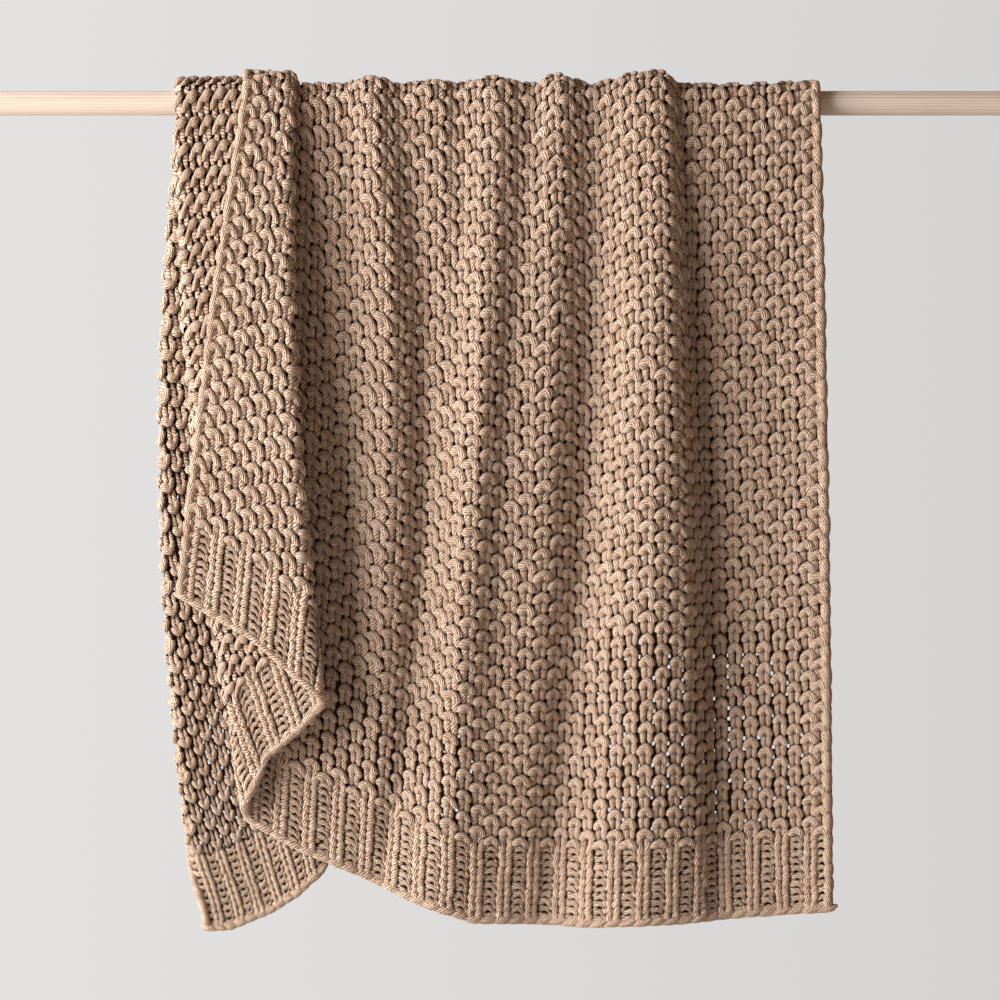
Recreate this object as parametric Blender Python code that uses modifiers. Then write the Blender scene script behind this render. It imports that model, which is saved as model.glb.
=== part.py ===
# A chunky knit blanket hanging over a round wooden rod.
# Metres, +Z up. The origin is the centre of the rod's left end face and +X runs along the rod.
# The blanket's front half hangs on the -Y side and its back half on the +Y side.

import math
from collections import namedtuple
from functools import lru_cache

import bpy
import numpy as np

# Rod
ROD_LENGTH = 1.2
ROD_RADIUS = 0.0135
ROD_SIDES = 32
ROD_EDGE_ROUND = 0.001

# Cloth, 1.04 m wide and 1.56 m long as knitted
THICKNESS = 0.0054
BORDER_HEIGHT = 0.082
RIB_REPEATS = 31
RIB_HEIGHT = 0.0017
RIB_FADE = 0.012

# Drape: heights below the rod at which the tables give their middle and low values
MIDDLE_DROP = 0.44
LOW_DROP = 2 * MIDDLE_DROP
ROD_CLEARANCE = 0.0007
ON_ROD = ROD_RADIUS + ROD_CLEARANCE + THICKNESS / 2
SMALLEST_REACH = 0.004
CLOSEST_STATIONS = 0.003
SMALLEST_SHARE = 0.003
SHARE_ROUNDS = 4
ROOM_BY_TURN = 0.12

# Mesh density
BODY_ROWS = 16
ROD_ROWS = 8
POINTS_PER_TURN = 4
POINTS_PER_LAYER = 3
POINTS_PER_FOLD = 2
SMOOTH_STEPS = 8

# The left margin is laid in a Z: from the selvedge the first layer runs right to a turn, the second
# runs back left to another turn, and the wide third layer runs on to the right selvedge.
# reach is the length of cloth in the first two layers, layer_pitch is the step from one to the next,
# and lean is how much further out these layers stand for each metre towards their right turn.
Margin = namedtuple("Margin", "left_turn right_turn reach layer_pitch lean")

FRONT_MARGIN = Margin(
    left_turn=(0.2458, 0.2722, 0.3382),
    right_turn=(0.3710, 0.3850, 0.4394),
    reach=(0.1900, 0.2640, 0.3460),
    layer_pitch=(0.0069, 0.0150, 0.0150),
    lean=(0.0, 0.16, 0.11),
)
BACK_MARGIN = Margin(
    left_turn=(0.2458, 0.2244, 0.2634),
    right_turn=(0.3710, 0.3600, 0.3580),
    reach=(0.1900, 0.0980, 0.0060),
    layer_pitch=(0.0069, 0.0140, 0.0140),
    lean=(0.0, 0.0, 0.0),
)

# Folds of the third layer, from left to right. x is along the rod, out is the distance of the
# cloth's middle from the rod's axis plane, each at the rod, at the middle drop and at the low drop.
Fold = namedtuple("Fold", "name x out")

FRONT_FOLDS = (
    Fold("behind the margin", (0.314, 0.338, 0.376), (ON_ROD, 0.015, 0.015)),
    Fold("first trough", (0.424, 0.430, 0.424), (ON_ROD, 0.012, 0.015)),
    Fold("first ridge", (0.458, 0.479, 0.444), (0.026, 0.027, 0.010)),
    Fold("second trough", (0.490, 0.516, 0.463), (ON_ROD, 0.010, 0.013)),
    Fold("small ridge", (0.532, 0.531, 0.480), (0.0215, 0.016, 0.019)),
    Fold("small trough", (0.551, 0.541, 0.500), (ON_ROD, 0.022, 0.0245)),
    Fold("second ridge", (0.595, 0.571, 0.534), (0.025, 0.040, 0.033)),
    Fold("third trough", (0.634, 0.603, 0.589), (ON_ROD, 0.028, 0.026)),
    Fold("third ridge", (0.664, 0.645, 0.622), (0.0275, 0.030, 0.020)),
    Fold("fourth trough", (0.700, 0.692, 0.650), (ON_ROD, 0.012, 0.013)),
    Fold("broad ridge, left side", (0.750, 0.745, 0.718), (0.029, 0.0435, 0.035)),
    Fold("broad ridge", (0.774, 0.7705, 0.754), (0.031, 0.049, 0.040)),
    Fold("broad ridge, right side", (0.784, 0.794, 0.809), (0.028, 0.044, 0.031)),
    Fold("fifth trough", (0.797, 0.826, 0.846), (ON_ROD, 0.009, 0.017)),
    Fold("shoulder", (0.834, 0.864, 0.880), (ON_ROD, 0.013, 0.017)),
    Fold("flat part", (0.900, 0.910, 0.918), (0.0178, 0.019, 0.019)),
    Fold("right selvedge", (0.952, 0.960, 0.965), (0.020, 0.030, 0.028)),
)
BACK_FOLDS = (
    Fold("behind the margin", (0.314, 0.300, 0.330), (ON_ROD, 0.016, 0.018)),
    Fold("first trough", (0.424, 0.376, 0.400), (ON_ROD, 0.012, 0.013)),
    Fold("first ridge", (0.458, 0.430, 0.458), (0.026, 0.034, 0.038)),
    Fold("second trough", (0.490, 0.486, 0.500), (ON_ROD, 0.013, 0.012)),
    Fold("small ridge", (0.532, 0.520, 0.536), (0.0215, 0.019, 0.020)),
    Fold("small trough", (0.551, 0.540, 0.556), (ON_ROD, 0.024, 0.028)),
    Fold("second ridge", (0.595, 0.572, 0.588), (0.025, 0.036, 0.042)),
    Fold("third trough", (0.634, 0.626, 0.640), (ON_ROD, 0.014, 0.014)),
    Fold("third ridge", (0.664, 0.666, 0.688), (0.0275, 0.028, 0.033)),
    Fold("fourth trough", (0.700, 0.708, 0.734), (ON_ROD, 0.013, 0.013)),
    Fold("broad ridge, left side", (0.750, 0.744, 0.764), (0.029, 0.031, 0.030)),
    Fold("broad ridge", (0.774, 0.766, 0.790), (0.031, 0.040, 0.038)),
    Fold("broad ridge, right side", (0.784, 0.788, 0.814), (0.028, 0.034, 0.031)),
    Fold("fifth trough", (0.797, 0.820, 0.850), (ON_ROD, 0.013, 0.013)),
    Fold("shoulder", (0.834, 0.860, 0.884), (ON_ROD, 0.022, 0.022)),
    Fold("flat part", (0.900, 0.908, 0.920), (0.0178, 0.015, 0.016)),
    Fold("right selvedge", (0.952, 0.944, 0.944), (0.020, 0.022, 0.022)),
)

# The hems: how far each hangs below the rod's axis, by share of the width from the left selvedge
Hem = namedtuple("Hem", "share drop")

FRONT_HEM = (
    Hem(0.000, 0.540),
    Hem(0.083, 0.584),
    Hem(0.167, 0.650),
    Hem(0.220, 0.690),
    Hem(0.265, 0.718),
    Hem(0.290, 0.750),
    Hem(0.330, 0.791),
    Hem(0.385, 0.821),
    Hem(0.455, 0.849),
    Hem(0.510, 0.873),
    Hem(0.587, 0.898),
    Hem(0.715, 0.903),
    Hem(0.850, 0.897),
    Hem(1.000, 0.886),
)
BACK_HEM = (
    Hem(0.000, 0.914),
    Hem(0.040, 0.912),
    Hem(0.100, 0.895),
    Hem(0.150, 0.876),
    Hem(0.200, 0.850),
    Hem(0.250, 0.805),
    Hem(0.320, 0.738),
    Hem(0.400, 0.686),
    Hem(0.500, 0.640),
    Hem(0.650, 0.608),
    Hem(0.850, 0.602),
    Hem(1.000, 0.606),
)

FRONT = (FRONT_MARGIN, FRONT_FOLDS, FRONT_HEM)
BACK = (BACK_MARGIN, BACK_FOLDS, BACK_HEM)

CLOTH_COLOUR = (0.46, 0.34, 0.25, 1.0)
WOOD_COLOUR = (0.78, 0.62, 0.46, 1.0)


def at_drop(values, drop):
    # A parabola in height through the values at the rod, at the middle drop and at the low drop
    rod, middle, low = values
    share = drop / LOW_DROP
    bow = 2 * (rod + low - 2 * middle)
    return rod + (low - rod - bow) * share + bow * share**2


def gentle_slopes(values, at):
    # Slopes that keep a curve level at its crests and troughs, so that it never overshoots them
    steps = np.diff(values) / np.diff(at)
    slopes = np.concatenate(([steps[0]], np.zeros(len(steps) - 1), [steps[-1]]))
    before, after = steps[:-1], steps[1:]
    same_way = before * after > 0
    total = np.where(same_way, before + after, 1.0)
    slopes[1:-1] = np.where(same_way, 2 * before * after / total, 0.0)
    return slopes


def smooth_through(points):
    # A dense line through a few points, SMOOTH_STEPS pieces to each of their spans
    points = np.array(points)
    chords = np.linalg.norm(np.diff(points, axis=0), axis=1)
    at = np.concatenate(([0.0], np.cumsum(chords)))
    part = np.arange(SMOOTH_STEPS) / SMOOTH_STEPS
    columns = []
    for values in points.T:
        slopes = gentle_slopes(values, at)
        pieces = []
        for i, chord in enumerate(chords):
            start = (1 + 2 * part) * (1 - part) ** 2 * values[i]
            end = part**2 * (3 - 2 * part) * values[i + 1]
            leave = part * (1 - part) ** 2 * chord * slopes[i]
            arrive = part**2 * (part - 1) * chord * slopes[i + 1]
            pieces.append(start + end + leave + arrive)
        columns.append(np.concatenate(pieces + [values[-1:]]))
    return np.stack(columns, axis=1)


def lengths_along(line):
    steps = np.linalg.norm(np.diff(line, axis=0), axis=1)
    return np.concatenate(([0.0], np.cumsum(steps)))


def half_turn(centre, radius, way):
    # From the layer nearer the rod round to the one outside it, bulging left (-1) or right (+1)
    angles = np.linspace(0, math.pi, 2 * SMOOTH_STEPS + 1)
    return np.stack(
        [
            centre[0] + way * radius * np.sin(angles),
            centre[1] - radius * np.cos(angles),
        ],
        axis=1,
    )


def margin_pieces(radius, left, right, reach):
    # The lengths that the selvedge leaves to the left turn, the second layer, the right turn and
    # the first layer, with the number of stations on each
    turn = math.pi * radius
    remaining = reach
    pieces = []
    for full, count in (
        (turn, POINTS_PER_TURN),
        (right - left, POINTS_PER_LAYER),
        (turn, POINTS_PER_TURN),
        (remaining, POINTS_PER_LAYER),
    ):
        length = min(full, remaining)
        pieces.append((length, count))
        remaining -= length
    return pieces


@lru_cache(maxsize=None)
def section(half, drop):
    # The level section of one half of the drape: the (x, out) points from the left selvedge to the
    # right one, the lengths along them, and the lengths at which its labelled stations lie.
    # Labels rise from left to right, and the margin's own are under 0.
    margin, folds, _ = half
    radius = at_drop(margin.layer_pitch, drop) / 2
    left = at_drop(margin.left_turn, drop) + radius
    right = at_drop(margin.right_turn, drop) - radius
    reach = max(at_drop(margin.reach, drop), SMALLEST_REACH)
    fold_points = [(at_drop(f.x, drop), at_drop(f.out, drop)) for f in folds]
    base = fold_points[0][1]
    wide_layer = smooth_through([(left, base)] + fold_points)

    pieces = margin_pieces(radius, left, right, reach)
    first_layer = max(pieces[-1][0], CLOSEST_STATIONS)
    out_and_back = np.concatenate(
        [
            half_turn((left, base + radius), radius, -1),
            half_turn((right, base + 3 * radius), radius, 1),
            [(right - first_layer, base + 4 * radius)],
        ]
    )
    run = lengths_along(out_and_back)
    end = [np.interp(reach, run, out_and_back[:, axis]) for axis in (0, 1)]
    margin_line = np.concatenate([out_and_back[run < reach - 1e-6], [end]])[::-1]
    lean = at_drop(margin.lean, drop)
    margin_line[:, 1] += lean * np.clip(margin_line[:, 0] - left, 0, None)
    line = np.concatenate([margin_line[:-1], wide_layer])
    along = lengths_along(line)
    start = along[len(margin_line) - 1]

    stations = {0: start}
    behind = 0.0
    label = 0
    for length, count in pieces:
        for i in range(1, count + 1):
            label -= 1
            if length > CLOSEST_STATIONS:
                stations[label] = max(start - behind - length * i / count, 0.0)
        behind += length
    step = SMOOTH_STEPS // POINTS_PER_FOLD
    for label, distance in enumerate(along[len(margin_line) - 1 :: step]):
        stations[label] = distance
    return line, along, stations


def section_at(half, drop):
    return section(half, round(float(drop), 4))


def point_on(half, share, drop):
    # The place on the cloth at a share of its width and a height below the rod
    line, along, _ = section_at(half, drop)
    distance = share * along[-1]
    return [np.interp(distance, along, line[:, axis]) for axis in (0, 1)]


def hem_drop(half, share):
    hem = half[2]
    return np.interp(share, [h.share for h in hem], [h.drop for h in hem])


def station_shares(half, drop_at):
    # The shares of the width at which a row, whose height varies along it, meets each station
    shares = {}
    for label in section_at(half, 0.0)[2]:
        share = 0.5
        for _ in range(SHARE_ROUNDS):
            _, along, stations = section_at(half, drop_at(share))
            if label not in stations:
                break
            share = stations[label] / along[-1]
        else:
            shares[label] = share
    kept = {label: share for label, share in shares.items() if share > SMALLEST_SHARE}
    last = min(kept)
    # The selvedge itself takes the next label
    kept[last - 1] = 0.0
    return kept


def rib_wave(share):
    # +1 on a raised pair of knit columns, -1 in the recess between two pairs
    phase = (share * RIB_REPEATS + 0.125) % 1.0
    return 1.0 if phase < 0.5 else -1.0


def row_of(labels, shares, points, rib):
    return {"label": labels, "share": shares, "points": points, "rib": rib}


def hanging_point(half, share, drop):
    x, out = point_on(half, share, drop)
    side = -1 if half is FRONT else 1
    return x, side * out, -drop


def body_row(half, drop_at):
    shares = station_shares(half, drop_at)
    labels = sorted(shares)
    across = [shares[label] for label in labels]
    points = [hanging_point(half, share, drop_at(share)) for share in across]
    return row_of(labels, across, points, 0.0)


def border_row(half, drop_at):
    # Four points to each rib repeat, and the turns of the margin between them
    shares = station_shares(half, drop_at)
    turns = [share for label, share in shares.items() if label <= 0 and share > 0]
    ribs = np.arange(4 * RIB_REPEATS + 1) / (4 * RIB_REPEATS)
    room = ROOM_BY_TURN / RIB_REPEATS
    across = [s for s in ribs if all(abs(s - t) > room for t in turns) or s in (0, 1)]
    across = sorted(across + [t for t in turns if t > room])
    points = [hanging_point(half, share, drop_at(share)) for share in across]
    return row_of(None, across, points, RIB_HEIGHT)


def rod_row(angle):
    # Over the rod, each station on its own arc round the rod's axis; the angle is 0 at the front
    shares = station_shares(FRONT, lambda share: 0.0)
    labels = sorted(shares)
    across = [shares[label] for label in labels]
    points = []
    for share in across:
        x, out = point_on(FRONT, share, 0.0)
        points.append((x, -out * math.cos(angle), out * math.sin(angle)))
    return row_of(labels, across, points, 0.0)


def half_rows(half):
    # From the rod down to the hem
    rows = []
    for i in range(BODY_ROWS + 1):
        part = i / BODY_ROWS
        above = BORDER_HEIGHT + RIB_FADE
        rows.append(body_row(half, lambda s: part * (hem_drop(half, s) - above)))
    for above in (BORDER_HEIGHT, BORDER_HEIGHT / 2, 0.0):
        rows.append(border_row(half, lambda s: hem_drop(half, s) - above))
    return rows


def join_rows(first, second, key):
    # Triangles between two rows of unlike points, walking both by the same key
    a, b = first[key], second[key]
    i = j = 0
    triangles = []
    while i < len(a) - 1 or j < len(b) - 1:
        step_first = j == len(b) - 1 or (i < len(a) - 1 and a[i + 1] <= b[j + 1])
        corner = first["index"][i], second["index"][j]
        if step_first:
            i += 1
            triangles.append((corner[0], corner[1], first["index"][i]))
        else:
            j += 1
            triangles.append((corner[0], corner[1], second["index"][j]))
    return triangles


def blanket_surface():
    # The middle of the cloth as one open surface, from the front hem over the rod to the back hem
    rows = half_rows(FRONT)[::-1]
    rows += [rod_row(math.pi * i / ROD_ROWS) for i in range(1, ROD_ROWS)]
    rows += half_rows(BACK)
    points = []
    lifts = []
    for row in rows:
        row["index"] = range(len(points), len(points) + len(row["points"]))
        points += row["points"]
        lifts += [row["rib"] * rib_wave(share) for share in row["share"]]
    triangles = []
    for first, second in zip(rows, rows[1:]):
        both_body = first["label"] is not None and second["label"] is not None
        triangles += join_rows(first, second, "label" if both_body else "share")
    return points, lifts, triangles


def material(name, colour, roughness):
    result = bpy.data.materials.new(name)
    result.use_nodes = True
    shader = result.node_tree.nodes["Principled BSDF"]
    shader.inputs["Base Color"].default_value = colour
    shader.inputs["Roughness"].default_value = roughness
    shader.inputs["Metallic"].default_value = 0.0
    result.diffuse_color = colour
    return result


def make_blanket(parts):
    points, lifts, triangles = blanket_surface()
    mesh = bpy.data.meshes.new("blanket")
    mesh.from_pydata(points, [], triangles)
    # The ribs move the middle of the cloth along its normals, so they show on both faces
    places = [v.co + v.normal * lift for v, lift in zip(mesh.vertices, lifts)]
    for vertex, place in zip(mesh.vertices, places):
        vertex.co = place
    mesh.update()
    mesh.materials.append(material("knit", CLOTH_COLOUR, 0.95))
    blanket = bpy.data.objects.new("blanket", mesh)
    parts.objects.link(blanket)
    solid = blanket.modifiers.new("thickness", "SOLIDIFY")
    solid.thickness = THICKNESS
    solid.offset = 0.0
    mesh.shade_smooth()
    return blanket


def make_rod(parts):
    bpy.ops.mesh.primitive_cylinder_add(
        vertices=ROD_SIDES,
        radius=ROD_RADIUS,
        depth=ROD_LENGTH,
        location=(ROD_LENGTH / 2, 0.0, 0.0),
        rotation=(0.0, math.pi / 2, 0.0),
    )
    rod = bpy.context.object
    rod.name = "rod"
    for collection in list(rod.users_collection):
        collection.objects.unlink(rod)
    parts.objects.link(rod)
    rod.data.materials.append(material("wood", WOOD_COLOUR, 0.55))
    rounding = rod.modifiers.new("rounded ends", "BEVEL")
    rounding.width = ROD_EDGE_ROUND
    rounding.segments = 2
    rounding.limit_method = "ANGLE"
    rounding.angle_limit = math.radians(60)
    rod.data.shade_smooth()
    rod.data.set_sharp_from_angle(angle=math.radians(40))
    return rod


def main():
    for old in list(bpy.data.objects):
        bpy.data.objects.remove(old)
    parts = bpy.data.collections.new("knit_blanket_on_rod")
    bpy.context.scene.collection.children.link(parts)
    make_rod(parts)
    make_blanket(parts)


main()
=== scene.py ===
import math

import bpy
import numpy as np
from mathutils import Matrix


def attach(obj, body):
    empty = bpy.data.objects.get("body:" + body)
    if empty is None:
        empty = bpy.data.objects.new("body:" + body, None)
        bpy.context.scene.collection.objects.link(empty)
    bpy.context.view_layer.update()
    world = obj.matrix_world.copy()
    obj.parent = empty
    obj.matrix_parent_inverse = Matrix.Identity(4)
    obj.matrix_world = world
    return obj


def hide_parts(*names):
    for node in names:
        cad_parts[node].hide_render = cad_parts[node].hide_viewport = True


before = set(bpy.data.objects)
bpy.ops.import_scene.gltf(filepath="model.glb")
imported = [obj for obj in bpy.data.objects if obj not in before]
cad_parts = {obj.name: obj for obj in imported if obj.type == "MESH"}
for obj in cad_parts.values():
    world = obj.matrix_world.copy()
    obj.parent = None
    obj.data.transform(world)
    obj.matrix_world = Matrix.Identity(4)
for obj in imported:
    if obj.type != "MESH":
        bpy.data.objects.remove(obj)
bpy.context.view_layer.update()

random = np.random.default_rng(31)


# Camera, at the picture's own distance and height
cameraLook = {
    "distance": 3.2,  # from the front of the cloth
    "clothFront": -0.018,
    "widthSeen": 1.1,  # metres across the picture at the cloth
    "middleX": 0.6,
    "middleZ": -0.4389,
    "sensor": 36.0,
}


def makeCamera(look):
    lens = bpy.data.cameras.new("camera")
    lens.sensor_width = look["sensor"]
    lens.lens = look["sensor"] * look["distance"] / look["widthSeen"]
    camera = bpy.data.objects.new("camera", lens)
    camera.location = (look["middleX"], look["clothFront"] - look["distance"], look["middleZ"])
    camera.rotation_euler = (math.pi / 2, 0.0, 0.0)
    bpy.context.scene.collection.objects.link(camera)
    bpy.context.scene.camera = camera


makeCamera(cameraLook)


# How the cloth hangs. Each triple holds the values at the rod, at the middle drop and at the low drop.
# x is along the rod, out is the distance from the rod's axis plane, and a drop is a height below it.
clothLook = {
    "columns": 62,
    "units": 56,  # stitch repeats between the two borders
    "borderRows": 10,
    "borderHeight": 0.082,
    "columnWidth": 0.0155,
    "unitHeight": 0.0245,
    "thickness": 0.0054,
    "lowDrop": 0.88,
    "smallestReach": 0.004,
    "pitchAtRod": 1.14,  # stitches are drawn longer near the rod and lie closer near the hems
    "pitchAtHem": 0.94,
}
rodLook = {"radius": 0.0135, "clearance": 0.0007}
onRod = rodLook["radius"] + rodLook["clearance"] + clothLook["thickness"] / 2

frontHalf = {
    "side": -1,
    "leftTurn": (0.2458, 0.2722, 0.3382),
    "rightTurn": (0.3710, 0.3850, 0.4394),
    "reach": (0.1900, 0.2640, 0.3460),
    "layerPitch": (0.0069, 0.0150, 0.0150),
    "lean": (0.0, 0.16, 0.11),  # how much further out the margin's layers stand at their right turn
    "folds": [
        {"x": (0.314, 0.338, 0.376), "out": (onRod, 0.015, 0.015)},
        {"x": (0.424, 0.430, 0.424), "out": (onRod, 0.012, 0.015)},
        {"x": (0.458, 0.479, 0.444), "out": (0.026, 0.027, 0.010)},
        {"x": (0.490, 0.516, 0.463), "out": (onRod, 0.010, 0.013)},
        {"x": (0.532, 0.531, 0.480), "out": (0.0215, 0.016, 0.019)},
        {"x": (0.551, 0.541, 0.500), "out": (onRod, 0.022, 0.0245)},
        {"x": (0.595, 0.571, 0.534), "out": (0.025, 0.040, 0.033)},
        {"x": (0.634, 0.603, 0.589), "out": (onRod, 0.028, 0.026)},
        {"x": (0.664, 0.645, 0.622), "out": (0.0275, 0.030, 0.020)},
        {"x": (0.700, 0.692, 0.650), "out": (onRod, 0.012, 0.013)},
        {"x": (0.750, 0.745, 0.718), "out": (0.029, 0.0435, 0.035)},
        {"x": (0.774, 0.7705, 0.754), "out": (0.031, 0.049, 0.040)},
        {"x": (0.784, 0.794, 0.809), "out": (0.028, 0.044, 0.031)},
        {"x": (0.797, 0.826, 0.846), "out": (onRod, 0.009, 0.017)},
        {"x": (0.834, 0.864, 0.880), "out": (onRod, 0.013, 0.017)},
        {"x": (0.900, 0.910, 0.918), "out": (0.0178, 0.019, 0.019)},
        {"x": (0.952, 0.960, 0.965), "out": (0.020, 0.030, 0.028)},
    ],
    "hem": {
        0.000: 0.540,
        0.083: 0.584,
        0.167: 0.650,
        0.220: 0.690,
        0.265: 0.718,
        0.290: 0.750,
        0.330: 0.791,
        0.385: 0.821,
        0.455: 0.849,
        0.510: 0.873,
        0.587: 0.898,
        0.715: 0.903,
        0.850: 0.897,
        1.000: 0.886,
    },
}
backHalf = {
    "side": 1,
    "leftTurn": (0.2458, 0.2244, 0.2634),
    "rightTurn": (0.3710, 0.3600, 0.3580),
    "reach": (0.1900, 0.0980, 0.0060),
    "layerPitch": (0.0069, 0.0140, 0.0140),
    "lean": (0.0, 0.0, 0.0),
    "folds": [
        {"x": (0.314, 0.300, 0.330), "out": (onRod, 0.016, 0.018)},
        {"x": (0.424, 0.376, 0.400), "out": (onRod, 0.012, 0.013)},
        {"x": (0.458, 0.430, 0.458), "out": (0.026, 0.034, 0.038)},
        {"x": (0.490, 0.486, 0.500), "out": (onRod, 0.013, 0.012)},
        {"x": (0.532, 0.520, 0.536), "out": (0.0215, 0.019, 0.020)},
        {"x": (0.551, 0.540, 0.556), "out": (onRod, 0.024, 0.028)},
        {"x": (0.595, 0.572, 0.588), "out": (0.025, 0.036, 0.042)},
        {"x": (0.634, 0.626, 0.640), "out": (onRod, 0.014, 0.014)},
        {"x": (0.664, 0.666, 0.688), "out": (0.0275, 0.028, 0.033)},
        {"x": (0.700, 0.708, 0.734), "out": (onRod, 0.013, 0.013)},
        {"x": (0.750, 0.744, 0.764), "out": (0.029, 0.031, 0.030)},
        {"x": (0.774, 0.766, 0.790), "out": (0.031, 0.040, 0.038)},
        {"x": (0.784, 0.788, 0.814), "out": (0.028, 0.034, 0.031)},
        {"x": (0.797, 0.820, 0.850), "out": (onRod, 0.013, 0.013)},
        {"x": (0.834, 0.860, 0.884), "out": (onRod, 0.022, 0.022)},
        {"x": (0.900, 0.908, 0.920), "out": (0.0178, 0.015, 0.016)},
        {"x": (0.952, 0.944, 0.944), "out": (0.020, 0.022, 0.022)},
    ],
    "hem": {
        0.000: 0.914,
        0.040: 0.912,
        0.100: 0.895,
        0.150: 0.876,
        0.200: 0.850,
        0.250: 0.805,
        0.320: 0.738,
        0.400: 0.686,
        0.500: 0.640,
        0.650: 0.608,
        0.850: 0.602,
        1.000: 0.606,
    },
}

# How finely the drape is worked out
gridLook = {
    "stepsPerFold": 20,
    "levels": 150,
    "rodSteps": 12,
    "perColumn": 9,
    "perUnit": 8,
    "perRow": 3,
}
hair = 1e-6  # two points of a section closer than this, in metres, are one


def atDrop(values, drop):
    # A parabola in height through the values at the rod, the middle and the low drop
    rod, middle, low = values
    share = drop / clothLook["lowDrop"]
    bow = 2 * (rod + low - 2 * middle)
    return rod + (low - rod - bow) * share + bow * share**2


def gentleSlopes(values, at):
    # Slopes that keep a curve level at its crests and troughs, so that it never overshoots them
    steps = np.diff(values) / np.diff(at)
    before, after = steps[:-1], steps[1:]
    sameWay = before * after > 0
    total = np.where(sameWay, before + after, 1.0)
    inner = np.where(sameWay, 2 * before * after / total, 0.0)
    return np.concatenate(([steps[0]], inner, [steps[-1]]))


def smoothThrough(points):
    points = np.array(points)
    chords = np.linalg.norm(np.diff(points, axis=0), axis=1)
    at = np.concatenate(([0.0], np.cumsum(chords)))
    part = np.arange(gridLook["stepsPerFold"]) / gridLook["stepsPerFold"]
    columns = []
    for values in points.T:
        slopes = gentleSlopes(values, at)
        pieces = []
        for i, chord in enumerate(chords):
            start = (1 + 2 * part) * (1 - part) ** 2 * values[i]
            end = part**2 * (3 - 2 * part) * values[i + 1]
            leave = part * (1 - part) ** 2 * chord * slopes[i]
            arrive = part**2 * (part - 1) * chord * slopes[i + 1]
            pieces.append(start + end + leave + arrive)
        columns.append(np.concatenate(pieces + [values[-1:]]))
    return np.stack(columns, axis=1)


def lengthsAlong(line):
    steps = np.linalg.norm(np.diff(line, axis=0), axis=1)
    return np.concatenate(([0.0], np.cumsum(steps)))


def halfTurn(x, out, radius, way):
    # From the layer nearer the rod round to the one outside it, bulging left (-1) or right (+1)
    angles = np.linspace(0, math.pi, gridLook["stepsPerFold"] + 1)
    return np.stack([x + way * radius * np.sin(angles), out - radius * np.cos(angles)], axis=1)


def section(half, drop):
    # The level section of one half of the drape, as (x, out) points from the left selvedge.
    # The left margin is laid in a Z: out to a right turn, back to a left turn, then the wide layer.
    radius = atDrop(half["layerPitch"], drop) / 2
    left = atDrop(half["leftTurn"], drop) + radius
    right = atDrop(half["rightTurn"], drop) - radius
    reach = max(atDrop(half["reach"], drop), clothLook["smallestReach"])
    foldPoints = [(atDrop(fold["x"], drop), atDrop(fold["out"], drop)) for fold in half["folds"]]
    base = foldPoints[0][1]
    wideLayer = smoothThrough([(left, base)] + foldPoints)
    firstLayer = max(reach - 2 * math.pi * radius - (right - left), clothLook["smallestReach"])
    outAndBack = np.concatenate(
        [
            halfTurn(left, base + radius, radius, -1),
            halfTurn(right, base + 3 * radius, radius, 1),
            [(right - firstLayer, base + 4 * radius)],
        ]
    )
    run = lengthsAlong(outAndBack)
    end = [np.interp(reach, run, outAndBack[:, axis]) for axis in (0, 1)]
    marginLine = np.concatenate([outAndBack[run < reach - hair], [end]])[::-1]
    marginLine[:, 1] += atDrop(half["lean"], drop) * np.clip(marginLine[:, 0] - left, 0, None)
    return np.concatenate([marginLine[:-1], wideLayer])


def evenShares(line, count):
    # A column of stitches keeps its share of the width, however the cloth is folded
    along = lengthsAlong(line)
    at = np.linspace(0, along[-1], count)
    return np.stack([np.interp(at, along, line[:, axis]) for axis in (0, 1)], axis=1)


def columnPaths():
    # One path for each share of the width, from the front hem up, over the rod and down to the back hem
    count = clothLook["columns"] * gridLook["perColumn"] + 1
    shares = np.linspace(0, 1, count)
    halves = []
    for half in (frontHalf, backHalf):
        hem = np.interp(shares, list(half["hem"]), list(half["hem"].values()))
        drops = np.linspace(0, hem.max(), gridLook["levels"])
        layers = np.array([evenShares(section(half, drop), count) for drop in drops])
        level = np.linspace(0, 1, gridLook["levels"])
        legs = []
        for i in range(count):
            drop = level * hem[i]
            x = np.interp(drop, drops, layers[:, i, 0])
            out = np.interp(drop, drops, layers[:, i, 1])
            legs.append(np.stack([x, half["side"] * out, -drop], axis=1))
        halves.append(np.array(legs))
    front, back = halves
    angles = np.linspace(0, math.pi, gridLook["rodSteps"] + 1)[1:-1]
    top = front[:, :1]
    arcX = np.repeat(top[:, :, 0], len(angles), axis=1)
    arc = np.stack([arcX, top[:, :, 1] * np.cos(angles), -top[:, :, 1] * np.sin(angles)], axis=2)
    return np.concatenate([front[:, ::-1], arc, back], axis=1)


def clothGrid():
    # Places on the middle of the cloth, by row (from the front hem to the back one) and column
    look = clothLook
    border = np.linspace(0, look["borderHeight"], look["borderRows"] * gridLook["perRow"] + 1)
    body = np.linspace(0, look["units"], look["units"] * gridLook["perUnit"] + 1)
    rows = []
    for path in columnPaths():
        along = lengthsAlong(path)
        drop = np.clip(-path[:, 2], 0, None) / look["lowDrop"]
        pitch = look["pitchAtRod"] + (look["pitchAtHem"] - look["pitchAtRod"]) * drop
        counted = np.concatenate(([0.0], np.cumsum(np.diff(along) * 2 / (pitch[1:] + pitch[:-1]))))
        first = np.interp(look["borderHeight"], along, counted)
        last = np.interp(along[-1] - look["borderHeight"], along, counted)
        bodyAt = np.interp(first + (last - first) * body / look["units"], counted, along)
        at = np.concatenate([border[:-1], bodyAt, along[-1] - border[-2::-1]])
        rows.append(np.stack([np.interp(at, along, path[:, axis]) for axis in range(3)], axis=1))
    return np.array(rows).transpose(1, 0, 2)


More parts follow.
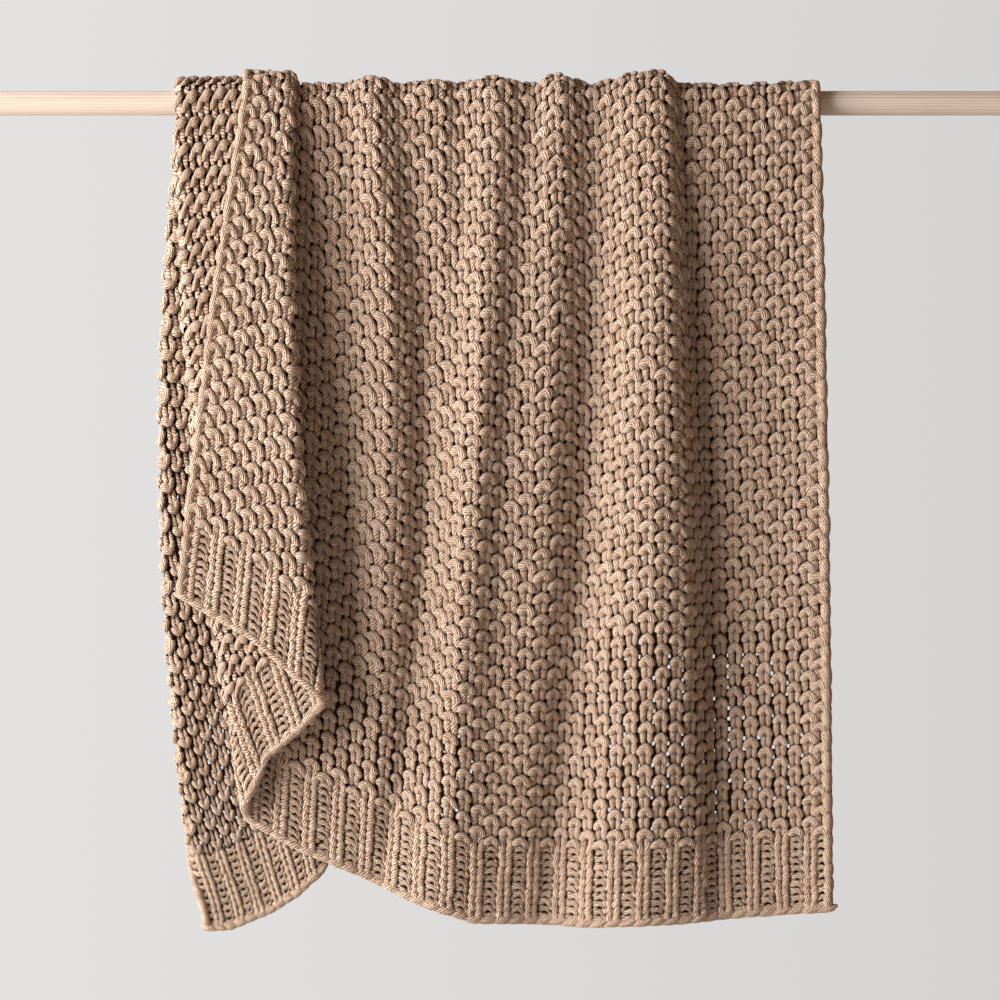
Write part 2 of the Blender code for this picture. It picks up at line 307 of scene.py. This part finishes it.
grid = clothGrid()
across, upward = np.gradient(grid, axis=1), np.gradient(grid, axis=0)
gridNormals = np.cross(across, upward)
gridNormals /= np.linalg.norm(gridNormals, axis=2, keepdims=True)
print("drape worked out,", grid.shape)


def gridRow(v):
    # v is 0 to units in the body, one to a row in the front border below 0 and in the back one above
    rows, units = clothLook["borderRows"], clothLook["units"]
    low = (v + rows) * gridLook["perRow"]
    body = rows * gridLook["perRow"] + v * gridLook["perUnit"]
    high = rows * gridLook["perRow"] + units * gridLook["perUnit"] + (v - units) * gridLook["perRow"]
    return np.where(v < 0, low, np.where(v > units, high, body))


def onCloth(u, v, lift):
    # The place at column u and row v, lifted from the middle of the cloth to its outer side
    row, column = gridRow(v), u * gridLook["perColumn"]
    i = np.clip(np.floor(row).astype(int), 0, grid.shape[0] - 2)
    j = np.clip(np.floor(column).astype(int), 0, grid.shape[1] - 2)
    up, right = (row - i)[..., None], (column - j)[..., None]

    def blend(table):
        low = table[i, j] * (1 - right) + table[i, j + 1] * right
        high = table[i + 1, j] * (1 - right) + table[i + 1, j + 1] * right
        return low * (1 - up) + high * up

    normal = blend(gridNormals)
    normal /= np.linalg.norm(normal, axis=-1, keepdims=True)
    return blend(grid) + normal * lift[..., None]


# Yarn forms, drawn on the flat: x across and y up the cloth from the stitch's own place, in metres
yarnFlatness = 0.65  # 1 is a round section, less is a plumper one with a flatter top
widestYarn = 0.005  # half the width of the yarn that shows the full number of strands
sizeSwing = 1.2  # how far a stitch's size and its height vary, against its place and its slant
heightSwing = 0.5


def plumped(values):
    return np.sign(values) * np.abs(values) ** yarnFlatness


def yarnTube(axis, halfWidth, crest, base, around, full=False):
    # The half of a yarn that shows, or the whole of it, round an axis on the flat
    axis, halfWidth, crest = np.array(axis), np.array(halfWidth), np.array(crest)
    along = np.gradient(axis, axis=0)
    along /= np.linalg.norm(along, axis=1, keepdims=True)
    aside = np.stack([-along[:, 1], along[:, 0]], axis=1)
    turns = np.linspace(0, 2 * math.pi if full else math.pi, around + 1)
    if full:
        turns = turns[:-1]
    offset = halfWidth[:, None] * plumped(np.cos(turns))
    spot = axis[:, None, :] + aside[:, None, :] * offset[..., None]
    lift = base + (crest[:, None] - base) * plumped(np.sin(turns))
    stations, points = len(axis), len(turns)
    i, k = np.meshgrid(np.arange(stations - 1), np.arange(points if full else points - 1), indexing="ij")
    here, beside = i * points + k, i * points + (k + 1) % points
    faces = np.stack([here, here + points, beside + points, beside], axis=-1).reshape(-1, 4)
    run = np.repeat(lengthsAlong(axis)[:, None], points, axis=1)
    turned = 2 * turns / math.pi if full else 1 - 2 * turns / math.pi
    strand = np.repeat(turned[None] * halfWidth.mean() / widestYarn, stations, axis=0)
    # rise: how high a point stands on a half yarn, 0 at its base and 1 at its crest. The yarn material
    # paints shade where it is low; a whole round yarn gets 1 and no such shade
    rise = np.ones_like(lift) if full else np.clip(lift / crest.max(), 0, 1)
    return {
        "x": spot[..., 0].ravel(),
        "y": spot[..., 1].ravel(),
        "lift": lift.ravel(),
        "run": run.ravel(),
        "strand": strand.ravel(),
        "rise": rise.ravel(),
        "faces": faces,
    }


class Yarns:
    # Gathers stitches until they are made into one mesh

    def __init__(self):
        self.points, self.faces, self.yarn, self.rise = [], [], [], []
        self.count = 0

    def add(self, form, u, v, side, width, height, jitter, scale=1.0):
        # One form at each of the places u, v, on the outer side (1) or the inner one (-1).
        # width and height are the metres to a column and a row.
        many = len(u)
        wobble = random.normal(0, jitter, (5, many, 1))
        size = 1 + wobble[0] * sizeSwing
        narrow = size * np.reshape(scale, (-1, 1))
        x = form["x"] * narrow + wobble[1] * width + form["y"] * wobble[2]
        y = form["y"] * size + wobble[3] * height * heightSwing + form["x"] * wobble[4]
        lift = form["lift"] * size * side
        points = onCloth(u[:, None] + x / width, v[:, None] + y / height, lift)
        stamp = random.random((many, 1)) + 0 * form["x"]
        run = form["run"] + stamp
        strand = form["strand"] + 0 * stamp
        faces = form["faces"] if side > 0 else form["faces"][:, ::-1]
        each = len(form["x"])
        starts = self.count + each * np.arange(many)
        self.points.append(points.reshape(-1, 3))
        self.faces.append((starts[:, None, None] + faces[None]).reshape(-1, 4))
        self.yarn.append(np.stack([run, strand, stamp], axis=-1).reshape(-1, 3))
        self.rise.append((form["rise"] + 0 * stamp).ravel())
        self.count += each * many

    def piece(self, name, material):
        points = np.concatenate(self.points)
        faces = np.concatenate(self.faces)
        mesh = meshFrom(name, points, faces)
        yarn = mesh.attributes.new("yarn", "FLOAT_VECTOR", "POINT")
        yarn.data.foreach_set("vector", np.concatenate(self.yarn).astype(np.float32).ravel())
        rise = mesh.attributes.new("rise", "FLOAT", "POINT")
        rise.data.foreach_set("value", np.concatenate(self.rise).astype(np.float32))
        return dressed(name, mesh, material)


def meshFrom(name, points, faces):
    mesh = bpy.data.meshes.new(name)
    mesh.vertices.add(len(points))
    mesh.vertices.foreach_set("co", points.astype(np.float32).ravel())
    mesh.loops.add(faces.size)
    mesh.loops.foreach_set("vertex_index", faces.astype(np.int32).ravel())
    mesh.polygons.add(len(faces))
    mesh.polygons.foreach_set("loop_start", np.arange(0, faces.size, 4, dtype=np.int32))
    mesh.update(calc_edges=True)
    mesh.validate()
    mesh.shade_smooth()
    return mesh


def dressed(name, mesh, material):
    piece = bpy.data.objects.new(name, mesh)
    mesh.materials.append(material)
    bpy.context.scene.collection.objects.link(piece)
    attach(piece, "root")
    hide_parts("blanket")
    print(name, len(mesh.polygons) * 2, "triangles")
    return piece


# Shader maths as plain expressions
class Wire:
    def __init__(self, tree, socket=None):
        self.tree = tree
        self.socket = socket

    def make(self, kind, settings=None, sockets=None, output=0):
        node = self.tree.nodes.new(kind)
        for name, value in (settings or {}).items():
            setattr(node, name, value)
        for name, value in (sockets or {}).items():
            if isinstance(value, Wire):
                self.tree.links.new(value.socket, node.inputs[name])
            else:
                node.inputs[name].default_value = value
        return Wire(self.tree, node.outputs[output])

    def output(self, index):
        # Another output of the node that this one comes from
        return Wire(self.tree, self.socket.node.outputs[index])

    def feed(self, node, name):
        self.tree.links.new(self.socket, node.inputs[name])

    def noise(self, place, scale, detail):
        sockets = {"Vector": place, "Scale": scale, "Detail": detail}
        return self.make("ShaderNodeTexNoise", sockets=sockets)

    def bump(self, height, look):
        sockets = {"Strength": look["bumpStrength"], "Distance": look["bumpDepth"], "Height": height}
        return self.make("ShaderNodeBump", sockets=sockets)

    def maths(self, operation, first, second=0.0):
        return self.make("ShaderNodeMath", {"operation": operation}, {0: first, 1: second})

    def __add__(self, other):
        return self.maths("ADD", self, other)

    def __radd__(self, other):
        return self.maths("ADD", other, self)

    def __sub__(self, other):
        return self.maths("SUBTRACT", self, other)

    def __rsub__(self, other):
        return self.maths("SUBTRACT", other, self)

    def __mul__(self, other):
        return self.maths("MULTIPLY", self, other)

    def __rmul__(self, other):
        return self.maths("MULTIPLY", other, self)

    def __pow__(self, other):
        return self.maths("POWER", self, other)

    def mixed(self, first, second):
        # self is the factor between two colours
        sockets = {0: self, 6: first, 7: second}
        return self.make("ShaderNodeMix", {"data_type": "RGBA"}, sockets, 2)


def blankMaterial(name):
    material = bpy.data.materials.new(name)
    material.use_nodes = True
    shader = material.node_tree.nodes["Principled BSDF"]
    return material, shader, Wire(material.node_tree)


# The yarn: matte cotton strands, lightly twisted, with painted shade in the grooves between strands and
# on a yarn's low sides
yarnLook = {
    "light": (0.770, 0.572, 0.438, 1.0),
    "dark": (0.470, 0.294, 0.190, 1.0),
    # painted shade: the near-black that the yarn turns in the grooves between its strands and on its low
    # sides
    "grooveShade": (0.060, 0.024, 0.009, 1.0),
    "strands": 8.0,  # over the visible half of the widest yarn
    "twist": 240.0,  # strands crossed in a metre
    "wander": 0.8,
    "wanderScale": 420.0,
    "fuzzScale": 760.0,
    "blotchScale": 26.0,
    "ridgeBend": 0.75,  # less is a broader strand with a narrower groove
    # ridgeGain and ridgeBase set how far the painted shade in the grooves between strands reaches
    "ridgeGain": 1.25,
    "ridgeBase": 0.06,
    "stitchTone": 0.25,  # how much each of these darkens the yarn
    "blotchTone": 0.40,
    "strandTone": 0.45,
    "fuzzTone": 1.0,
    "evenTone": -0.62,
    "sideShadeFrom": 0.25,  # the rise up a yarn's side at which its painted shade ends, and how fast it fades
    "sideShadeGain": 2.2,
    "fuzzHeight": 0.6,  # against a strand's own height
    "bumpDepth": 0.0012,
    "bumpStrength": 0.9,
    "roughness": 0.92,
    "sheen": 0.12,
    "specular": 0.15,
}
stitchSpread = 97.0  # keeps two stitches from giving their strands the same tones


def makeYarnMaterial(look):
    # Each yarn is a loose bundle of strands, every strand with a tone of its own. Painted shade darkens
    # it towards a near-black in the grooves between strands and on its low sides
    material, shader, wire = blankMaterial("knit_yarn")
    yarn = wire.make("ShaderNodeAttribute", {"attribute_name": "yarn"}, output=1)
    rise = wire.make("ShaderNodeAttribute", {"attribute_name": "rise"}, output=2)
    run = wire.make("ShaderNodeSeparateXYZ", sockets={0: yarn})
    strand, stamp = run.output(1), run.output(2)
    place = wire.make("ShaderNodeTexCoord", output=3)
    wander = wire.noise(place, look["wanderScale"], 1.0)
    fuzz = wire.noise(place, look["fuzzScale"], 1.0)
    blotch = wire.noise(place, look["blotchScale"], 2.0)
    turns = strand * (look["strands"] / 2) + run * look["twist"] + wander * look["wander"]
    ridge = wire.maths("ABSOLUTE", wire.maths("SINE", turns * math.pi)) ** look["ridgeBend"]
    count = wire.maths("FLOOR", turns) + stamp * stitchSpread
    tint = wire.make("ShaderNodeTexWhiteNoise", {"noise_dimensions": "1D"}, {"W": count})
    tone = stamp * look["stitchTone"] + blotch * look["blotchTone"] + tint * look["strandTone"]
    tone = tone + fuzz * look["fuzzTone"] + look["evenTone"]
    body = wire.maths("MAXIMUM", tone, 0.0).mixed(look["light"], look["dark"])
    # Painted shade on the low sides of a yarn, where it dives between its neighbours
    edge = wire.maths("MINIMUM", (rise - look["sideShadeFrom"]) * look["sideShadeGain"], 1.0)
    # lit is the painted light and shade: dark in the grooves between strands and dark on the yarn's low
    # sides
    lit = wire.maths("MINIMUM", ridge * look["ridgeGain"] + look["ridgeBase"], 1.0)
    lit = lit * wire.maths("MAXIMUM", edge, 0.0)
    lit.mixed(look["grooveShade"], body).feed(shader, "Base Color")
    wire.bump(ridge + fuzz * look["fuzzHeight"], look).feed(shader, "Normal")
    shader.inputs["Roughness"].default_value = look["roughness"]
    shader.inputs["Sheen Weight"].default_value = look["sheen"]
    shader.inputs["Specular IOR Level"].default_value = look["specular"]
    return material


# The ground behind the stitches: the same cotton, painted nearly black as painted shade for the depth
# between the stitches
groundShadeLook = {
    "dark": (0.030, 0.015, 0.008, 1.0),
    "light": (0.070, 0.036, 0.020, 1.0),
    "fuzzScale": 700.0,
    "bumpDepth": 0.001,
    "bumpStrength": 0.6,
    "roughness": 1.0,
    "specular": 0.05,
}


def makeGroundShadeMaterial(look):
    material, shader, wire = blankMaterial("knit_ground")
    fuzz = wire.noise(wire.make("ShaderNodeTexCoord", output=3), look["fuzzScale"], 3.0)
    fuzz.mixed(look["dark"], look["light"]).feed(shader, "Base Color")
    wire.bump(fuzz, look).feed(shader, "Normal")
    shader.inputs["Roughness"].default_value = look["roughness"]
    shader.inputs["Specular IOR Level"].default_value = look["specular"]
    return material


yarnMaterial = makeYarnMaterial(yarnLook)
groundShadeMaterial = makeGroundShadeMaterial(groundShadeLook)

columnWidth, unitHeight = clothLook["columnWidth"], clothLook["unitHeight"]
rowHeight = clothLook["borderHeight"] / clothLook["borderRows"]


# Where the cloth is stretched and shows light between its stitches
openPlaces = [
    {"columns": (1, 9), "rows": (34, 56), "chance": 0.8},
    {"columns": (44, 60), "rows": (0, 10), "chance": 0.5},
    {"columns": (24, 36), "rows": (0, 5), "chance": 0.4},
]


# A body stitch: a plump cap with two round lobes and, below it, two ears that fill the column
capLook = {
    "centre": 0.74,  # of a unit's height
    "halfSpan": 0.0077,
    "droop": 0.0078,
    "bend": 1.5,
    "along": (0.0, 0.4, 0.75, 1.0),  # from the middle out to the end of a lobe
    "halves": (0.0056, 0.0052, 0.0047, 0.0031),
    "crests": (0.0062, 0.0068, 0.0068, 0.0050),
    "base": -0.0006,
}
earLook = {
    "along": (-0.22, 0.08, 0.36, 0.64),  # of a unit's height
    "asides": (0.0038, 0.0037, 0.0036, 0.0028),
    "halves": (0.0016, 0.0042, 0.0042, 0.0030),
    "crests": (0.0012, 0.0042, 0.0038, 0.0010),
    "base": -0.0006,
}
bodyDetail = {
    "outer": {"side": 1, "capAround": 6, "earStations": 4, "earAround": 4},
    "inner": {"side": -1, "capAround": 4, "earStations": 3, "earAround": 3},
}
bodyBands = {
    "front_low": (-1, 14, "outer"),
    "front_high": (14, 28, "outer"),
    "back_high": (28, 42, "outer"),
    "back_low": (42, 56, "outer"),
    "front_inside": (-1, 28, "inner"),
    "back_inside": (28, 56, "inner"),
}
bodyJitter = 0.032
openSize = 0.86  # stitches are a little smaller where the stretched cloth shows light
edgeColumn = 0.72  # the first and last columns stand a little further in, behind the selvedge


def bowForm(look, around):
    # A yarn that bows down on both sides of its middle
    outwards = np.array(look["along"])
    part = np.concatenate([-outwards[::-1], outwards[1:]])
    axis = np.stack([look["halfSpan"] * part, -look["droop"] * np.abs(part) ** look["bend"]], axis=1)
    halves = np.interp(np.abs(part), outwards, look["halves"])
    crests = np.interp(np.abs(part), outwards, look["crests"])
    return yarnTube(axis, halves, crests, look["base"], around)


def earForm(look, detail, way):
    at = np.linspace(look["along"][0], look["along"][-1], detail["earStations"])
    asides = np.interp(at, look["along"], look["asides"])
    halves = np.interp(at, look["along"], look["halves"])
    crests = np.interp(at, look["along"], look["crests"])
    axis = np.stack([way * asides, at * unitHeight], axis=1)
    return yarnTube(axis, halves, crests, look["base"], detail["earAround"])


def bodyPlaces(side, low, high, skipped):
    # Neighbouring columns are half a unit apart, and the reverse side half a unit from the face.
    # The raised columns have one row more: their lowest has no ears, and their highest has no cap.
    columns, units = clothLook["columns"], clothLook["units"]
    u, v = [], []
    for column in range(columns):
        raised = (column + (side < 0)) % 2 == 1
        rows = np.arange(skipped, skipped + units) - 0.5 if raised else np.arange(units)
        rows = rows[(rows >= low) & (rows < high)]
        inside = min(max(column + 0.5, edgeColumn), columns - edgeColumn)
        u.append(np.full(len(rows), inside))
        v.append(rows)
    return np.concatenate(u), np.concatenate(v)


def stretched(u, v):
    inside = np.zeros(np.shape(u), bool)
    for place in openPlaces:
        (left, right), (low, high) = place["columns"], place["rows"]
        inside |= (u > left) & (u < right) & (v > low) & (v < high)
    return inside


def addBody(yarns, form, side, u, v, at):
    scale = np.where(stretched(u, v), openSize, 1.0)
    yarns.add(form, u, v + at, side, columnWidth, unitHeight, bodyJitter, scale)


def makeBody():
    for name, (low, high, face) in bodyBands.items():
        detail = bodyDetail[face]
        side = detail["side"]
        yarns = Yarns()
        for way in (-1, 1):
            u, v = bodyPlaces(side, low, high, 1)
            addBody(yarns, earForm(earLook, detail, way), side, u, v, 0.0)
        u, v = bodyPlaces(side, low, high, 0)
        addBody(yarns, bowForm(capLook, detail["capAround"]), side, u, v, capLook["centre"])
        yarns.piece("knit_" + name, yarnMaterial)


makeBody()


# The ribbed borders: a raised column of V stitches, then a recessed band of little arches.
# Between two arches stands one that is open in the middle, drawn as a pair of short bars.
legLook = {
    "row": 0.2,  # where in a row it is drawn from
    "from": (0.0018, -0.55),  # x in metres, y in rows
    "to": (0.0050, 1.05),
    "halves": (0.0022, 0.0044, 0.0046, 0.0026),
    "crests": (0.0012, 0.0042, 0.0054, 0.0038),
    "base": -0.0006,
    "around": 4,
    "jitter": 0.03,
}
archLook = {
    "row": 0.6,
    "halfSpan": 0.0086,
    "droop": 0.0046,
    "bend": 1.3,
    "along": (0.0, 0.5, 1.0),  # from the middle out
    "halves": (0.0031, 0.0030, 0.0023),
    "crests": (0.0036, 0.0034, 0.0006),
    "base": -0.0008,
    "around": 4,
    "jitter": 0.05,
}
barLook = {
    "rowsOn": 0.5,  # from the arch below it
    "from": (0.0018, -0.0004),  # in metres
    "to": (0.0088, -0.0052),
    "halves": (0.0021, 0.0030, 0.0023),
    "crests": (0.0012, 0.0033, 0.0010),
    "base": -0.0008,
    "around": 3,
    "jitter": 0.05,
}


def strokeForm(look, way, height):
    # A yarn that runs straight from one place to another, height being the metres to a step of y
    part = np.linspace(0, 1, len(look["halves"]))
    x = way * (look["from"][0] + (look["to"][0] - look["from"][0]) * part)
    y = (look["from"][1] + (look["to"][1] - look["from"][1]) * part) * height
    axis = np.stack([x, y], axis=1)
    return yarnTube(axis, look["halves"], look["crests"], look["base"], look["around"])


def borderPlaces(start, first):
    # Every second column from the first one, at every row
    last = clothLook["columns"]
    columns = np.clip(np.arange(first, last, 2) + 0.5, edgeColumn, last - edgeColumn)
    rows = start + np.arange(clothLook["borderRows"])
    u, v = np.meshgrid(columns, rows, indexing="ij")
    return u.ravel(), v.ravel()


def addBorder(yarns, form, side, u, v, look):
    yarns.add(form, u, v, side, columnWidth, rowHeight, look["jitter"])


def makeBorders():
    rows, units = clothLook["borderRows"], clothLook["units"]
    for half, start in (("front", -rows), ("back", units)):
        yarns = Yarns()
        for side, knit, purl in ((1, 0, 1), (-1, 1, 0)):
            u, v = borderPlaces(start + legLook["row"], knit)
            for way in (-1, 1):
                addBorder(yarns, strokeForm(legLook, way, rowHeight), side, u, v, legLook)
            u, v = borderPlaces(start + archLook["row"], purl)
            addBorder(yarns, bowForm(archLook, archLook["around"]), side, u, v, archLook)
            for way in (-1, 1):
                bar = strokeForm(barLook, way, 1.0)
                addBorder(yarns, bar, side, u, v + barLook["rowsOn"], barLook)
        outwards = -1 if half == "front" else 1
        u = np.arange(clothLook["columns"]) + 0.5
        edge = np.full(len(u), start if half == "front" else start + rows)
        for yarn, below in (("link", 0.0), ("cord", outwards * braidLook["cordBelow"])):
            addBorder(yarns, braidForm(braidLook, braidLook[yarn], below), 1, u, edge, braidLook)
        yarns.piece("border_" + half, yarnMaterial)


# The bind-off braid at each hem, and the slipped chain at each selvedge, as whole round yarns
braidLook = {
    "link": {"halfSpan": 0.0120, "rise": 0.0030, "half": 0.0040, "crest": 0.0058},
    "cord": {"halfSpan": 0.0105, "rise": 0.0006, "half": 0.0030, "crest": 0.0044},
    "cordBelow": 0.0026,
    "taper": 0.86,  # 1 runs out to a point at both ends
    "stations": 7,
    "around": 8,
    "jitter": 0.03,
}
chainLook = {
    "length": 1.24,  # of a unit
    "slant": 0.0008,
    "half": 0.0055,
    "crest": 0.0074,
    "taper": 0.8,
    "stations": 7,
    "around": 8,
    "inset": 0.0044,
    "jitter": 0.02,
}


def roundYarn(look, axis, half, crest):
    plump = np.sqrt(np.clip(1 - np.linspace(-1, 1, len(axis)) ** 2 * look["taper"], 0, 1))
    return yarnTube(axis, half * plump, crest * plump, 0.0, look["around"], True)


def braidForm(look, yarn, below):
    part = np.linspace(-1, 1, look["stations"])
    axis = np.stack([yarn["halfSpan"] * part, yarn["rise"] * part + below], axis=1)
    return roundYarn(look, axis, yarn["half"], yarn["crest"])


def chainForm(look, height):
    part = np.linspace(-1, 1, look["stations"])
    axis = np.stack([look["slant"] * part, look["length"] * height / 2 * part], axis=1)
    return roundYarn(look, axis, look["half"], look["crest"])


def makeSelvedges():
    rows, units, columns = clothLook["borderRows"], clothLook["units"], clothLook["columns"]
    inset = chainLook["inset"] / columnWidth
    # A link to every unit of the body, and one to every second row of a border
    runs = [(np.arange(units) + 0.5, unitHeight, unitHeight)]
    runs += [(start + np.arange(rows / 2) * 2 + 1, rowHeight, 2 * rowHeight) for start in (-rows, units)]
    for name, at in (("left", inset), ("right", columns - inset)):
        yarns = Yarns()
        for v, height, reach in runs:
            form, u = chainForm(chainLook, reach), np.full(len(v), at)
            yarns.add(form, u, v, 1, columnWidth, height, chainLook["jitter"])
        yarns.piece("selvedge_" + name, yarnMaterial)


makeBorders()
makeSelvedges()


# The ground between the stitches, a sheet painted dark as painted shade, open where the stretched cloth
# shows light
groundGaps = {
    "edge": 0.13,  # of a column, on each side of the line between two columns
    "bodyLines": (0.27, 0.45, 0.77, 0.95),  # of a unit. The cloth opens between a pair of close lines
    "close": 0.2,
    "borderStep": 0.5,  # of a row
}


def makeGround(gaps):
    columns, units, rows = clothLook["columns"], clothLook["units"], clothLook["borderRows"]
    inner = np.arange(1, columns)
    lines = np.sort(np.concatenate([inner - gaps["edge"], inner + gaps["edge"], [0.0, columns]]))
    bodyRows = (np.arange(units)[:, None] + np.array(gaps["bodyLines"])).ravel()
    borderRows = np.linspace(0, rows, round(rows / gaps["borderStep"]) + 1)
    frontRows, backRows = borderRows - rows, borderRows + units
    levels = np.concatenate([frontRows, bodyRows, backRows])
    u, v = np.meshgrid(lines, levels)
    points = onCloth(u.ravel(), v.ravel(), np.zeros(u.size))
    wide = len(lines)
    i, j = np.meshgrid(np.arange(len(levels) - 1), np.arange(wide - 1), indexing="ij")
    corner = i * wide + j
    faces = np.stack([corner, corner + 1, corner + wide + 1, corner + wide], axis=-1)
    keep = np.ones(i.shape, bool)
    between = j % 2 == 1
    short = np.diff(levels)[i] < gaps["close"]
    draws = random.random(i.shape)
    for place in openPlaces:
        (left, right), (low, high) = place["columns"], place["rows"]
        inside = (lines[j] > left) & (lines[j] < right) & (levels[i] > low) & (levels[i] < high)
        keep &= ~(inside & between & short & (draws < place["chance"]))
    mesh = meshFrom("knit_ground", points, faces[keep])
    return dressed("knit_ground", mesh, groundShadeMaterial)


ground = makeGround(groundGaps)


# The rod's pale pine: long grain from rings round an axis outside the dowel
pineLook = {
    "light": (0.745, 0.615, 0.515, 1.0),
    "dark": (0.470, 0.330, 0.235, 1.0),
    "heart": (-0.021, 0.034),  # y and z of the tree's own axis, from the dowel's
    "rings": 2100.0,
    "bend": 9.0,
    "bendScale": (2.5, 60.0, 60.0),
    "fibreScale": (6.0, 700.0, 700.0),
    "ringTone": 0.30,
    "fibreTone": 1.1,
    "bendTone": 0.4,
    "evenTone": -0.54,
    "bumpDepth": 0.0004,
    "bumpStrength": 0.25,
    "roughness": 0.75,
    "fibreRoughness": 0.15,
    "specular": 0.15,
}


def makePine(look):
    material, shader, wire = blankMaterial("pine")
    place = wire.make("ShaderNodeTexCoord", output=3)
    drawn = wire.make("ShaderNodeMapping", sockets={"Vector": place, "Scale": look["bendScale"]})
    fine = wire.make("ShaderNodeMapping", sockets={"Vector": place, "Scale": look["fibreScale"]})
    bend, fibre = wire.noise(drawn, 1.0, 3.0), wire.noise(fine, 1.0, 2.0)
    split = wire.make("ShaderNodeSeparateXYZ", sockets={0: place})
    y, z = split.output(1) - look["heart"][0], split.output(2) - look["heart"][1]
    radius = (y * y + z * z) ** 0.5
    rings = wire.maths("SINE", radius * look["rings"] + bend * look["bend"])
    tone = rings * look["ringTone"] + fibre * look["fibreTone"] + bend * look["bendTone"]
    (tone + look["evenTone"]).mixed(look["light"], look["dark"]).feed(shader, "Base Color")
    wire.bump(fibre, look).feed(shader, "Normal")
    (look["roughness"] + fibre * look["fibreRoughness"]).feed(shader, "Roughness")
    shader.inputs["Specular IOR Level"].default_value = look["specular"]
    return material


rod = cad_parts["rod"]
pine = makePine(pineLook)
for slot in rod.material_slots:
    slot.material = pine
print("rod dressed")


# Pale floor and soft light, strongest from the left
stageLook = {
    "middleX": 0.6,
    "floorZ": -1.6,
    "floorHalf": 2.2,
    "floorColour": (0.74, 0.73, 0.72, 1.0),
    "roughness": 0.8,
}
lightLook = {
    "key": {"at": (-2.40, -1.20, 0.25), "aim": (0.6, 0.0, -0.42), "size": (2.6, 2.6), "power": 290.0},
    "fill": {"at": (2.6, -2.6, 0.3), "aim": (0.6, 0.0, -0.45), "size": (2.0, 2.0), "power": 6.0},
    "back": {"at": (1.2, 2.6, 0.8), "aim": (0.6, 0.0, -0.45), "size": (2.0, 2.0), "power": 26.0},
    "ambient": (0.150, 0.096, 0.060, 1.0),  # warm, as light between yarns is
    # The backdrop that the camera sees, painted lighter on the left than on the right as painted light
    # from the key
    "shownLeft": (0.775, 0.760, 0.752, 1.0),
    "shownRight": (0.662, 0.652, 0.642, 1.0),
    "shownSpan": 0.175,  # of the view's direction, from the middle to a side
}


def makeFloor(look):
    mesh = bpy.data.meshes.new("floor")
    middle, half, z = look["middleX"], look["floorHalf"], look["floorZ"]
    corners = [(middle + x * half, y * half, z) for x, y in ((-1, -1), (1, -1), (1, 1), (-1, 1))]
    mesh.from_pydata(corners, [], [(0, 1, 2, 3)])
    material, shader, _ = blankMaterial("floor")
    shader.inputs["Base Color"].default_value = look["floorColour"]
    shader.inputs["Roughness"].default_value = look["roughness"]
    mesh.materials.append(material)
    floor = bpy.data.objects.new("floor", mesh)
    bpy.context.scene.collection.objects.link(floor)


def makeLight(name, look):
    lamp = bpy.data.lights.new(name, "AREA")
    lamp.shape = "RECTANGLE"
    lamp.size, lamp.size_y = look["size"]
    lamp.energy = look["power"]
    light = bpy.data.objects.new(name, lamp)
    light.location = look["at"]
    way = np.array(look["aim"]) - np.array(look["at"])
    light.rotation_euler = (
        math.atan2(math.hypot(way[0], way[1]), -way[2]),
        0.0,
        math.atan2(-way[0], way[1]),
    )
    bpy.context.scene.collection.objects.link(light)


def makeWorld(look):
    world = bpy.data.worlds.new("studio")
    world.use_nodes = True
    tree = world.node_tree
    wire = Wire(tree)
    background = tree.nodes["Background"]
    # Camera rays see the backdrop, painted lighter on the left as painted light; all other rays get the
    # warm ambient light
    seen = wire.make("ShaderNodeLightPath")
    way = wire.make("ShaderNodeSeparateXYZ", sockets={0: wire.make("ShaderNodeTexCoord", output=0)})
    shown = (way * (0.5 / look["shownSpan"]) + 0.5).mixed(look["shownLeft"], look["shownRight"])
    colour = seen.mixed(look["ambient"], shown)
    tree.links.new(colour.socket, background.inputs["Color"])
    bpy.context.scene.world = world


makeFloor(stageLook)
for name in ("key", "fill", "back"):
    makeLight(name + "_light", lightLook[name])
makeWorld(lightLook)
bpy.context.scene.view_settings.view_transform = "Standard"
print("stage set")
